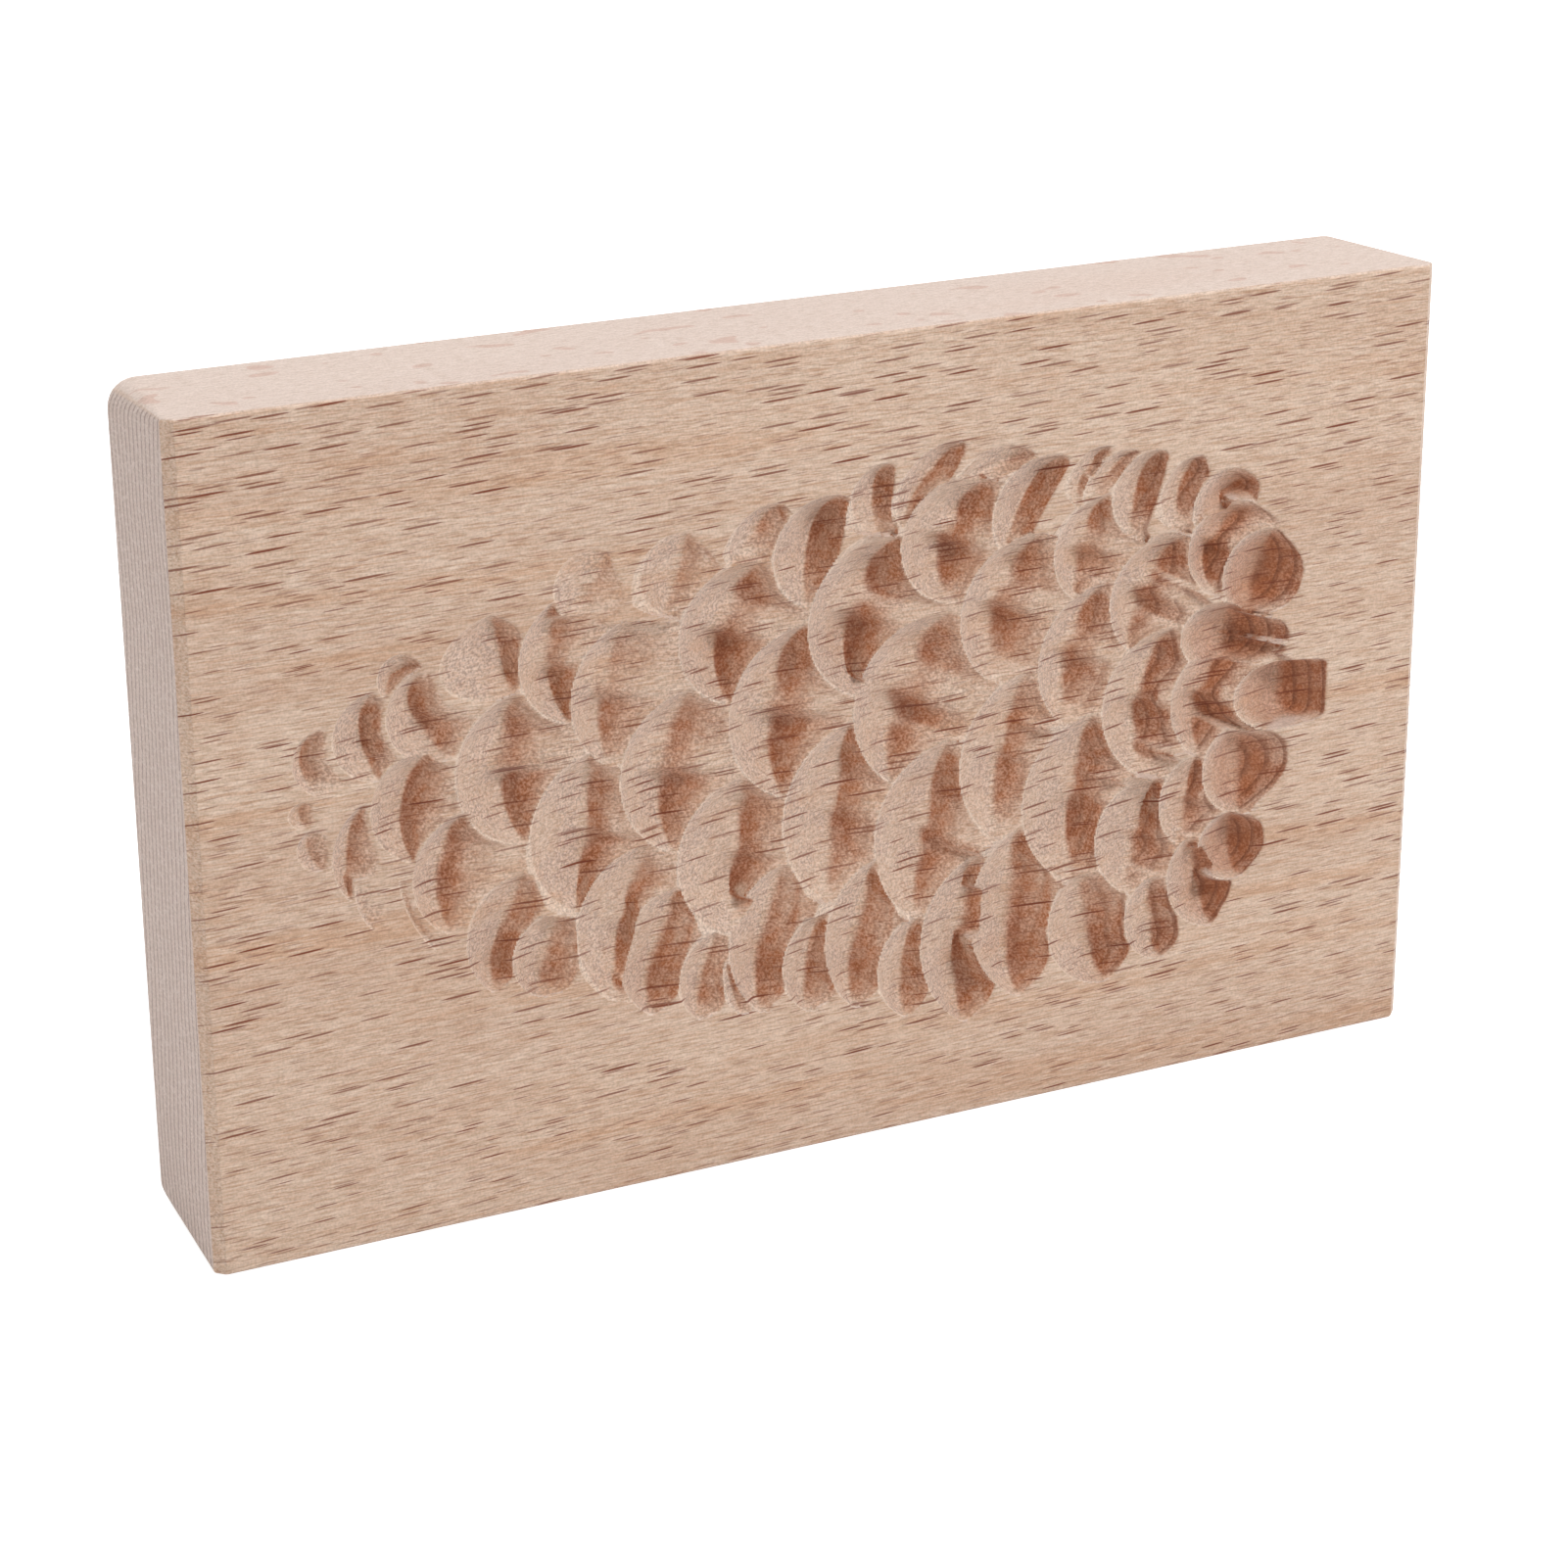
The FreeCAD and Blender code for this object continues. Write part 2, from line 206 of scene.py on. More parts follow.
lower_border_scales = [
    ((-49.0, -7.5), (-56.6, -14.5), (-53.8, -20.8), 2.5),
    ((-45.0, -13.4), (-51.1, -18.0), (-48.0, -22.5), 3.8),
    ((-29.5, -13.0), (-37.7, -21.0), (-34.3, -27.5), 3.0),
    ((-25.0, -19.3), (-30.1, -24.5), (-28.2, -29.3), 3.0),
    ((-24.0, -23.0), (-24.4, -26.5), (-22.5, -30.0), 2.0),
    ((-16.0, -12.7), (-23.5, -22.0), (-20.0, -30.0), 3.0),
    ((-11.0, -19.7), (-16.6, -25.7), (-14.0, -31.0), 3.4),
    ((-3.5, -14.2), (-10.8, -23.0), (-7.7, -31.8), 3.6),
    ((1.5, -22.5), (-4.0, -28.5), (-0.8, -34.5), 2.8),
    ((9.5, -16.2), (1.9, -27.0), (7.3, -36.8), 4.4),
    ((15.7, -13.7), (8.7, -23.0), (14.8, -34.9), 4.6),
    ((23.5, -21.0), (19.4, -28.5), (27.5, -35.3), 4.8),
    ((34.0, -23.0), (30.1, -27.8), (35.2, -33.8), 3.3),
]
end_scales = [
    ((50.0, 19.8), (43.2, 15.0), (46.5, 9.0), 6.2),
    ((44.5, 11.0), (37.8, 7.5), (43.0, 2.2), 8.6),
    ((44.3, -5.6), (41.3, -10.5), (46.5, -16.8), 7.6),
    ((45.0, -16.2), (40.8, -19.6), (46.3, -25.0), 4.6),
    ((38.7, -19.0), (36.2, -24.5), (42.5, -30.8), 5.0),
]
stem_cut = ((51.5, 2.3), (45.5, -1.9), (51.5, -6.1), 6.9)


class Scale:
    """One scale of the cone: its rim's circle, and a frame on the line through the rim's ends."""

    def __init__(self, outline, form):
        upper, foremost, lower = [Vector(point) for point in outline[:3]]
        self.form = form
        self.reach = outline[3]
        self.upper, self.foremost, self.lower = upper, foremost, lower
        self.middle = (upper + lower) / 2
        self.half_width = (upper - lower).length / 2
        self.along = (upper - lower).normalized()
        self.inward = Vector((self.along.y, -self.along.x))
        self.centre = circle_centre(upper, foremost, lower)
        self.radius = (self.centre - upper).length
        self.inset = (self.centre - self.middle).dot(self.inward)
        self.bow = self.radius - self.inset
        self.half_angle = math.atan2(self.half_width, self.inset) + rim_end_play / self.radius
        from_bow = fall_per_rim_bow * min(self.bow, longest_bow)
        from_reach = fall_per_reach * min(self.reach, longest_reach)
        self.fall = form["depth"] * (from_bow + from_reach)

    def rim_place(self, share):
        """Where the rim lies in front of the line through its ends, at a share of the half width."""
        if self.inset > 0:
            return self.inset - math.sqrt(self.radius ** 2 - (share * self.half_width) ** 2)
        return -self.bow * math.sqrt(1 - share ** 2)

    def valley_place(self, share):
        """Where the valley lies behind the line through the rim's ends."""
        return self.form["valley"] * self.reach * (1 - abs(share) ** self.form["fullness"])

    def own_rise(self, share):
        """How far this scale's own hollow reaches behind its valley."""
        far_edge = self.reach * (1 - abs(share) ** self.form["far_fullness"])
        return max(far_edge - self.valley_place(share), shortest_rise)

    def crossing(self, start, heading):
        """How far from a start the rim is met along a heading, or None."""
        offset = start - self.centre
        nearest = offset.dot(heading)
        spare = nearest ** 2 - offset.dot(offset) + self.radius ** 2
        if spare < 0:
            return None
        for distance in (-nearest - math.sqrt(spare), -nearest + math.sqrt(spare)):
            hit = offset + heading * distance
            angle = math.atan2(hit.dot(self.along), -hit.dot(self.inward))
            if distance > nearest_next_rim and abs(angle) < self.half_angle:
                return distance
        return None

    def measure_rises(self, others):
        """How far the wood rises behind the valley, at even steps from the lower to the upper end."""
        rises = []
        for step in range(steps_across + 1):
            share = 2 * step / steps_across - 1
            behind = self.inward * self.valley_place(share)
            start = self.middle + self.along * share * self.half_width + behind
            rises.append(self.rise_length(start, self.own_rise(share), others))
        inner = [(a + 2 * b + c) / 4 for a, b, c in zip(rises, rises[1:], rises[2:])]
        self.rises = rises[:1] + inner + rises[-1:] * 2

    def rise_length(self, start, own, others):
        """How far the wood rises from the valley at a start: to the next rim, or to its own reach."""
        met = [other.crossing(start, self.inward) for other in others]
        met = [distance for distance in met if distance and distance < own + farthest_next_rim]
        if not met:
            return own
        return min(min(met), own + overlong_rise if self.form["runs_on"] else own)

    def depth_at(self, x, z):
        """Depth below the ridges at a point of the cone, or None outside this scale."""
        across = x - self.middle.x, z - self.middle.y
        share = (across[0] * self.along.x + across[1] * self.along.y) / self.half_width
        if abs(share) >= 1:
            return None
        back = across[0] * self.inward.x + across[1] * self.inward.y
        rim = self.rim_place(share)
        valley = self.valley_place(share)
        step = (share + 1) / 2 * steps_across
        rise, next_rise = self.rises[int(step)], self.rises[int(step) + 1]
        rise += (next_rise - rise) * (step - int(step))
        front_share = (back - rim) / max(valley - rim, shortest_fall)
        back_share = 1 - (back - valley) / rise
        if min(front_share, back_share) < farthest_outside:
            return None
        if 0 < front_share < 1:
            front_share = front_share ** slope_swell
        if 0 < back_share < 1:
            back_share = back_share ** self.form["hollow"]
        level = soft_least(front_share, back_share, valley_softness)
        fall = self.fall * (1 + self.form["lean"] * share) * (1 - abs(share) ** self.form["fullness"])
        return fall * (1 - self.ridge_share(share, front_share, back_share)) * level

    def ridge_share(self, share, front_share, back_share):
        """How much of the fall the ridge between the two lobes takes back."""
        width = ridge_width_below if share < ridge_place else ridge_width_above
        nearness = math.exp(-((share - ridge_place) / width) ** 2)
        in_front = self.form["ridge"] * clamped(front_share) ** ridge_growth
        behind = self.form["ridge_back"] * clamped((1 - back_share) / ridge_back_run)
        return nearness * (in_front + behind)


def clamped(share):
    """A share kept from 0 to 1."""
    return min(max(share, 0), 1)


def circle_centre(a, b, c):
    """Centre of the circle through three points."""
    p, q = b - a, c - a
    d = 2 * (p.x * q.y - p.y * q.x)
    return a + Vector((q.y * p.dot(p) - p.y * q.dot(q), p.x * q.dot(q) - q.x * p.dot(p))) / d


def soft_least(a, b, softness):
    """The lesser of two values, rounded where they meet."""
    blend = max(softness - abs(a - b), 0) / softness
    return min(a, b) - blend * blend * softness / 4


def all_scales():
    """Every scale of the cone and its stem, each with the rise behind its valley measured."""
    scales = []
    for form, outlines in (
        (tip_form, tip_scales),
        (leaf_form, leaf_scales),
        (upper_border_form, upper_border_scales),
        (lobed_form, upper_scales),
        (lobed_form, middle_scales),
        (lower_form, lower_scales),
        (lower_border_form, lower_border_scales),
        (end_form, end_scales),
        (stem_form, [stem_cut]),
    ):
        scales.extend(Scale(outline, form) for outline in outlines)
    for scale in scales:
        scale.measure_rises([other for other in scales if other is not scale])
    return scales


def ridge_depth(x, z):
    """How far below the face the ridges lie at a point of the cone."""
    across = (x / cone_half_length) ** 2 + (z / cone_half_height) ** 2
    return ridge_depth_at_middle * max(0.0, 1.0 - across)


def carved_depths(columns, rows, step_x, step_z):
    """Depth below the face at each point of the grid over the carving, row by row."""
    from_x, from_z = cone_middle_x - carved_low_x, cone_middle_z - carved_low_z
    depths = [depth_where_uncut] * (columns * rows)
    for scale in all_scales():
        ends = (scale.upper, scale.foremost, scale.lower)
        low_x = min(p.x for p in ends) - margin_in_front + from_x
        high_x = max(p.x for p in ends) + margin_behind + from_x
        low_z = min(p.y for p in ends) - margin_past_ends + from_z
        high_z = max(p.y for p in ends) + margin_past_ends + from_z
        for row in range(max(int(low_z / step_z), 0), min(int(high_z / step_z), rows - 1) + 1):
            z = carved_low_z + row * step_z - cone_middle_z
            for column in range(max(int(low_x / step_x), 0), min(int(high_x / step_x), columns - 1) + 1):
                depth = scale.depth_at(carved_low_x + column * step_x - cone_middle_x, z)
                place = row * columns + column
                if depth is not None and depth > depths[place]:
                    depths[place] = depth
    for row in range(rows):
        z = carved_low_z + row * step_z - cone_middle_z
        for column in range(columns):
            place = row * columns + column
            x = carved_low_x + column * step_x - cone_middle_x
            depths[place] = max(ridge_depth(x, z) + depths[place], 0.0)
    return depths


def carved_face(face_y):
    """The carved stretch of the face as a fine mesh, thinned where it is flat or evenly curved."""
    columns = round((carved_high_x - carved_low_x) / surface_step)
    rows = round((carved_high_z - carved_low_z) / surface_step)
    step_x = (carved_high_x - carved_low_x) / columns
    step_z = (carved_high_z - carved_low_z) / rows
    sheet = bmesh.new()
    bmesh.ops.create_grid(sheet, x_segments=columns, y_segments=rows, size=0.5)
    upright = Matrix.Rotation(math.radians(90), 4, "X")
    size = Matrix.Diagonal((step_x * columns * MM, 1, step_z * rows * MM, 1))
    middle = Vector((carved_low_x + carved_high_x, 0, carved_low_z + carved_high_z)) / 2 * MM
    middle.y = face_y
    bmesh.ops.transform(sheet, matrix=Matrix.Translation(middle) @ size @ upright, verts=sheet.verts)
    depths = carved_depths(columns + 1, rows + 1, step_x, step_z)
    for point in sheet.verts:
        column = round((point.co.x / MM - carved_low_x) / step_x)
        row = round((point.co.z / MM - carved_low_z) / step_z)
        point.co.y += depths[row * (columns + 1) + column] * MM
    return thinned(sheet)


def thinned(sheet):
    """The same surface with fewer faces: small ones stay at the rims and valleys."""
    mesh = bpy.data.meshes.new("fine_carving")
    sheet.to_mesh(mesh)
    sheet.free()
    fine = bpy.data.objects.new("fine_carving", mesh)
    bpy.context.scene.collection.objects.link(fine)
    thin = fine.modifiers.new("thin", "DECIMATE")
    thin.ratio = kept_share_of_faces
    done = fine.evaluated_get(bpy.context.evaluated_depsgraph_get()).to_mesh()
    kept = bmesh.new()
    kept.from_mesh(done)
    for point in kept.verts:
        point.co.y = max(point.co.y, board_low.y)
    bpy.data.objects.remove(fine)
    bpy.data.meshes.remove(mesh)
    return kept


def board_sections():
    """Sections parallel to the face: the depth behind it, the insets at ends and long edges, the corner."""
    thickness = (board_high.y - board_low.y) / MM
    sections = []
    for step in range(sections_of_front_edge + 1):
        turn = math.pi / 2 * step / sections_of_front_edge
        depth = front_long_edge_radius * (1 - math.cos(turn))
        sections.append((depth, front_end_chamfer - depth, front_long_edge_radius * (1 - math.sin(turn))))
    sections.append((front_end_chamfer, 0.0, 0.0))
    for step in range(sections_of_back_edge + 1):
        turn = math.pi / 2 * step / sections_of_back_edge
        inset = back_edge_radius * (1 - math.cos(turn))
        sections.append((thickness - back_edge_radius * (1 - math.sin(turn)), inset, inset))
    rounded = []
    for depth, end_inset, long_inset in sections:
        towards_back = min(depth / (thickness - back_edge_radius), 1.0)
        rounding = (back_edge_radius - front_corner_radius) * towards_back ** corner_growth
        corner = front_corner_radius + rounding
        rounded.append((depth, end_inset, long_inset, max(corner - long_inset, least_corner)))
    return rounded


def section_edges(board, depth, end_inset, long_inset, corner):
    """The edges of one section: a rectangle with round corners."""
    inset = Vector((end_inset, 0, long_inset)) * MM
    size = board_high - board_low - inset * 2
    middle = (board_high + board_low) / 2
    middle.y = board_low.y + depth * MM
    upright = Matrix.Rotation(math.radians(90), 4, "X")
    place = Matrix.Translation(middle) @ Matrix.Diagonal((size.x, 1, size.z, 1)) @ upright
    points = bmesh.ops.create_grid(board, x_segments=1, y_segments=1, size=0.5, matrix=place)["verts"]
    bmesh.ops.bevel(board, geom=points, offset=corner * MM, offset_type="OFFSET", affect="VERTICES",
                    segments=steps_of_corner, profile=0.5, material=-1)
    face = next(iter(board.faces))
    edges = list(face.edges)
    bmesh.ops.delete(board, geom=[face], context="FACES_ONLY")
    return edges


def blank_board():
    """The board before carving, open at the front: round towards its back, its front ends chamfered."""
    board = bmesh.new()
    rings = [section_edges(board, *section) for section in board_sections()]
    for ring, following in zip(rings, rings[1:]):
        bmesh.ops.bridge_loops(board, edges=ring + following)
    bmesh.ops.contextual_create(board, geom=rings[-1])
    return board


def carved_board():
    """The board with the carved stretch set into its face."""
    board = blank_board()
    whole = bpy.data.meshes.new("beech_board")
    carving = carved_face(board_low.y)
    carving.to_mesh(whole)
    carving.free()
    board.from_mesh(whole)
    edges = [edge for edge in board.edges if edge.is_boundary]
    bmesh.ops.triangle_fill(board, edges=edges, use_beauty=True, normal=(0, -1, 0))
    bmesh.ops.recalc_face_normals(board, faces=board.faces)
    for face in board.faces:
        face.smooth = True
    board.to_mesh(whole)
    board.free()
    whole.set_sharp_from_angle(angle=math.radians(sharp_from_degrees))
    piece = bpy.data.objects.new("beech_board", whole)
    bpy.context.scene.collection.objects.link(piece)
    evened = piece.modifiers.new("even_shading", "WEIGHTED_NORMAL")
    evened.keep_sharp = True
    return piece


class Nodes:
    """A tree of shader nodes, made one after another."""

    def __init__(self, tree):
        self.tree = tree

    def add(self, kind, **settings):
        """A node with its settings; an input is set by name, from a value or from another node's output."""
        node = self.tree.nodes.new(kind)
        for name, value in settings.items():
            socket = node.inputs.get(name.title())
            if socket:
                self.feed(socket, value)
            else:
                setattr(node, name, value)
        return node

    def feed(self, socket, value):
        """Gives a socket a value or a link."""
        if isinstance(value, bpy.types.NodeSocket):
            self.tree.links.new(value, socket)
        else:
            socket.default_value = value

    def math(self, operation, *values):
        """One step of arithmetic."""
        node = self.add("ShaderNodeMath", operation=operation)
        for socket, value in zip(node.inputs, values):
            self.feed(socket, value)
        return node.outputs[0]

    def seen_directly(self):
        """1 for what the camera sees itself, or in a shiny or clear piece; 0 for what only gives light."""
        path = self.add("ShaderNodeLightPath").outputs
        mirrored = self.math("MAXIMUM", path["Is Glossy Ray"], path["Is Transmission Ray"])
        return self.math("MAXIMUM", path["Is Camera Ray"], mirrored)

    def show_one_of(self, share, first, second, output):
        """Feeds the tree's output with the first shader, or by a share with the second."""
        chosen = self.add("ShaderNodeMixShader")
        for socket, value in zip(chosen.inputs, (share, first, second)):
            self.feed(socket, value)
        self.feed(self.tree.nodes[output].inputs["Surface"], chosen.outputs[0])


class Shader(Nodes):
    """A material's nodes."""

    def __init__(self, name):
        self.material = bpy.data.materials.new(name)
        self.material.use_nodes = True
        super().__init__(self.material.node_tree)
        self.surface = self.tree.nodes["Principled BSDF"]
        self.place = self.add("ShaderNodeTexCoord").outputs["Object"]

    def product(self, *values):
        """Values multiplied together."""
        result = values[0]
        for value in values[1:]:
            result = self.math("MULTIPLY", result, value)
        return result

    def rest(self, share):
        """What a share leaves of the whole."""
        return self.math("SUBTRACT", 1.0, share)

    def lifted(self, share, least):
        """A share that starts from a least value instead of from nothing."""
        return self.math("ADD", least, self.product(share, 1.0 - least))

    def parts(self, vector):
        """The three parts of a vector."""
        return self.add("ShaderNodeSeparateXYZ", vector=vector).outputs

    def in_cells(self, size, turn=(0, 0, 0)):
        """The place on the wood, in cells of a size in millimetres, turned by degrees."""
        turned = self.add("ShaderNodeMapping", vector_type="POINT", vector=self.place)
        turned.inputs["Rotation"].default_value = [math.radians(angle) for angle in turn]
        scaled = self.add("ShaderNodeMapping", vector_type="POINT", vector=turned.outputs["Vector"])
        scaled.inputs["Scale"].default_value = [1 / (length * MM) for length in size]
        return scaled.outputs["Vector"]

    def noise(self, cell, detail):
        """Soft noise in cells of a size in millimetres, about 0 to 1."""
        node = self.add("ShaderNodeTexNoise", vector=self.in_cells(cell), scale=1.0, detail=detail)
        return node.outputs["Fac"]

    def between(self, value, low, high):
        """0 below a low value, 1 above a high one, smooth between."""
        node = self.add("ShaderNodeMapRange", interpolation_type="SMOOTHSTEP", value=value)
        node.inputs["From Min"].default_value = low
        node.inputs["From Max"].default_value = high
        return node.outputs["Result"]

    def between_mm(self, value, low, high):
        """The same for a length, with the low and high values in millimetres."""
        return self.between(value, low * MM, high * MM)

    def shows(self, value, starts, full, strength):
        """How strongly a pattern shows: not at all where it starts, by its strength where it is full."""
        return self.product(self.between(value, starts, full), strength)

    def tint(self, share, under, over, blend="MIX"):
        """One colour laid over another by a share."""
        node = self.add("ShaderNodeMix", data_type="RGBA", blend_type=blend)
        self.feed(node.inputs["Factor"], share)
        self.feed(node.inputs["A"], under)
        self.feed(node.inputs["B"], over)
        return node.outputs["Result"]

    def shade(self, share, under, factor):
        """A colour made darker or lighter by a factor, as far as a share says."""
        return self.tint(share, under, factor, "MULTIPLY")


def colour(red, green, blue):
    """A colour as it is seen on a screen, 0 to 255, as the linear value that a shader takes."""
    return [(value / 255) ** 2.2 for value in (red, green, blue)] + [1]


# Beech, bare and sanded
pale_wood = colour(213, 186, 165)
pink_wood = colour(206, 177, 156)
tan_band = colour(196, 148, 112)
late_wood = colour(186, 144, 114)
fibre_dark = colour(184, 141, 110)
fibre_pale = colour(228, 208, 190)
# The long sides' colour, paler and greyer than the face, with the top's grazing sheen painted in
side_tone_and_sheen = colour(216, 199, 191)
# The ray patches of the long sides, and the sawn ends' grain, lines and rays
side_patch = colour(192, 150, 132)
end_grain = colour(203, 182, 172)
end_line = colour(140, 108, 98)
end_ray = colour(222, 206, 198)
# The duller tone of cut wood in the carving
cut_wood = colour(194, 168, 154)
# A painted highlight along the rims of the scales
painted_rim_highlight = colour(238, 220, 202)
# Painted shade on the carved slopes that face the tip, away from the key lamp, browner and darker deep in the
# hollows, and the ring lines drawn in it
painted_shade_brown = colour(172, 103, 62)
painted_deep_shade = colour(132, 70, 42)
shaded_ring_line = colour(112, 66, 44)
# The short dark rays of the beech
dark_fleck = colour(114, 52, 26)

# How much the finest texture darkens or lightens the wood's red, green and blue
dark_granule = [0.78, 0.76, 0.75, 1]
pale_granule = [1.16, 1.18, 1.2, 1]
dark_fibre = [0.88, 0.85, 0.81, 1]
pale_fibre = [1.06, 1.07, 1.08, 1]

# Soft patterns of the wood: the cell along, through and up the board in millimetres, and the detail
colour_clouds = (60, 20, 12), 1.0
wide_bands = (70, 9, 4), 2.0
ring_streaks = (16, 0.6, 0.36), 2.0
long_fibres = (2.8, 0.24, 0.18), 4.0
fine_fibres = (1.5, 0.24, 0.2), 1.0
side_patches = (3.6, 2.0, 6.0), 0.0
end_rays = (3.0, 1.1, 0.42), 1.0
granules = (0.3, 0.3, 0.3), 1.0
rough_patches = (6, 4, 4), 1.0
# Mottling of the painted shade in the carving
shade_mottles = (2.2, 1.6, 1.6), 1.0
# Sway and wobble of the yearly rings
ring_sway = (130, 60, 34), 1.5
ring_wobble = (40, 12, 7), 2.0

# How each pattern shows: the value at which it starts, the one at which it is full, and its strength
pink_clouds_show = 0.3, 0.7, 1.0
tan_bands_show = 0.52, 0.72, 0.45
late_streaks_show = 0.45, 0.72, 0.4
dark_fibres_show = 0.5, 0.7, 0.6
pale_fibres_show = 0.5, 0.3, 0.5
side_patches_show = 0.72, 0.76, 0.6
end_rays_show = 0.52, 0.66, 0.4

# The high and the low values of the granules and of the fine fibres
fine_high_shows = 0.52, 0.62, 1.0
fine_low_shows = 0.48, 0.38, 1.0

# Patterns that thin out another colour: the value at which each starts, and the one at which it is full
roughness_shows = 0.7, 0.3
rough_patches_show = 0.42, 0.58
shade_mottles_show = 0.62, 0.38

# How far a surface faces a way, 0 to 1: where that starts to count, and where it counts in full
faces_end = 0.7, 0.85
faces_front = 0.15, 0.4
faces_up = 0.6, 0.8
slope_to_stem = 0.0, 0.15
# Slopes towards the tip face away from the key lamp and take the painted shade; a rim's painted highlight
# lies on a slope towards the stem
slope_to_tip = 0.0, 0.52
steep_to_tip = 0.42, 0.7
rim_highlight_slope = 0.08, 0.22

# Depths below the face, depths below the ridges, and places along the board, in millimetres
carved_below_face = 0.05, 0.3
# Where the painted highlight along the rims lies, below the face and below the ridges
rim_highlight_below_face = 0.02, 0.08
rim_highlight_below_ridges = 0.32, 0.1
# Where the painted shade begins in the hollows and where it is darkest, and along the board where it grows
# darker and redder towards the stem end
hollow_below_ridges = 0.1, 1.9
darkest_below_ridges = 1.2, 3.6
stem_end_darkens = 24, 52
stem_end_reddens = 42, 54
# Where the sawn end begins
sawn_end_begins = 76.5, 77.5

# How strongly a colour is laid over the wood, and the least share that a pattern leaves of one
late_wood_strength = 0.16
side_tone_and_sheen_strength = 0.6
end_grain_strength = 0.85
cut_wood_strength = 0.75
# Strengths of the painted shade, of the ring lines drawn in it, and of the painted highlight on the rims
deep_shade_strength = 0.75
stem_end_shade_strength = 0.7
stem_end_red_strength = 0.4
shaded_ring_line_strength = 0.6
rim_highlight_strength = 0.35
# Then the faint flecks, and the least shares that patterns leave, some of them of the painted shade
faint_fleck_strength = 0.5
least_patchy = 0.4
least_cut_to_stem = 0.25
least_cut_rough = 0.4
least_shade_shallow = 0.45
least_shade_smooth = 0.65
least_mottled = 0.72
least_line_from_stem = 0.25
least_granular = 0.4

# Yearly rings, in millimetres: they lie nearly level with the face, and sway
ring_spacing = 1.35
ring_tilt = 0.055
ring_sway_depth = 6.0
ring_wobble_depth = 1.0
late_wood_grows = 0.55, 0.92
late_wood_ends = 1.0, 0.96

# Flecks: cells in millimetres, the share of cells that hold one, and their turn in degrees; then how
# far one reaches in its cell, its least strength, and how soft its edge is
fleck_cell = (8.5, 16.0, 0.44)
faint_fleck_cell = (5.0, 10.0, 0.3)
fleck_share = 0.7
faint_fleck_share = 0.75
fleck_turn = (15.0, 3.0, 0)
least_fleck_reach = 0.19
fleck_reach_play = 0.17
least_fleck_strength = 0.6
fleck_edge = 0.3

# The wood's surface: its gloss, then how much each pattern adds to its grain, how strongly the grain
# shows, and its height in millimetres
wood_roughness = 0.6
wood_gloss = 0.35
wood_sheen = 0.25
wood_sheen_roughness = 0.5
streak_height = 0.3
fibre_height = 0.7
granule_height = 0.5
fleck_depth = 0.4
grain_strength = 0.4
grain_height = 0.12


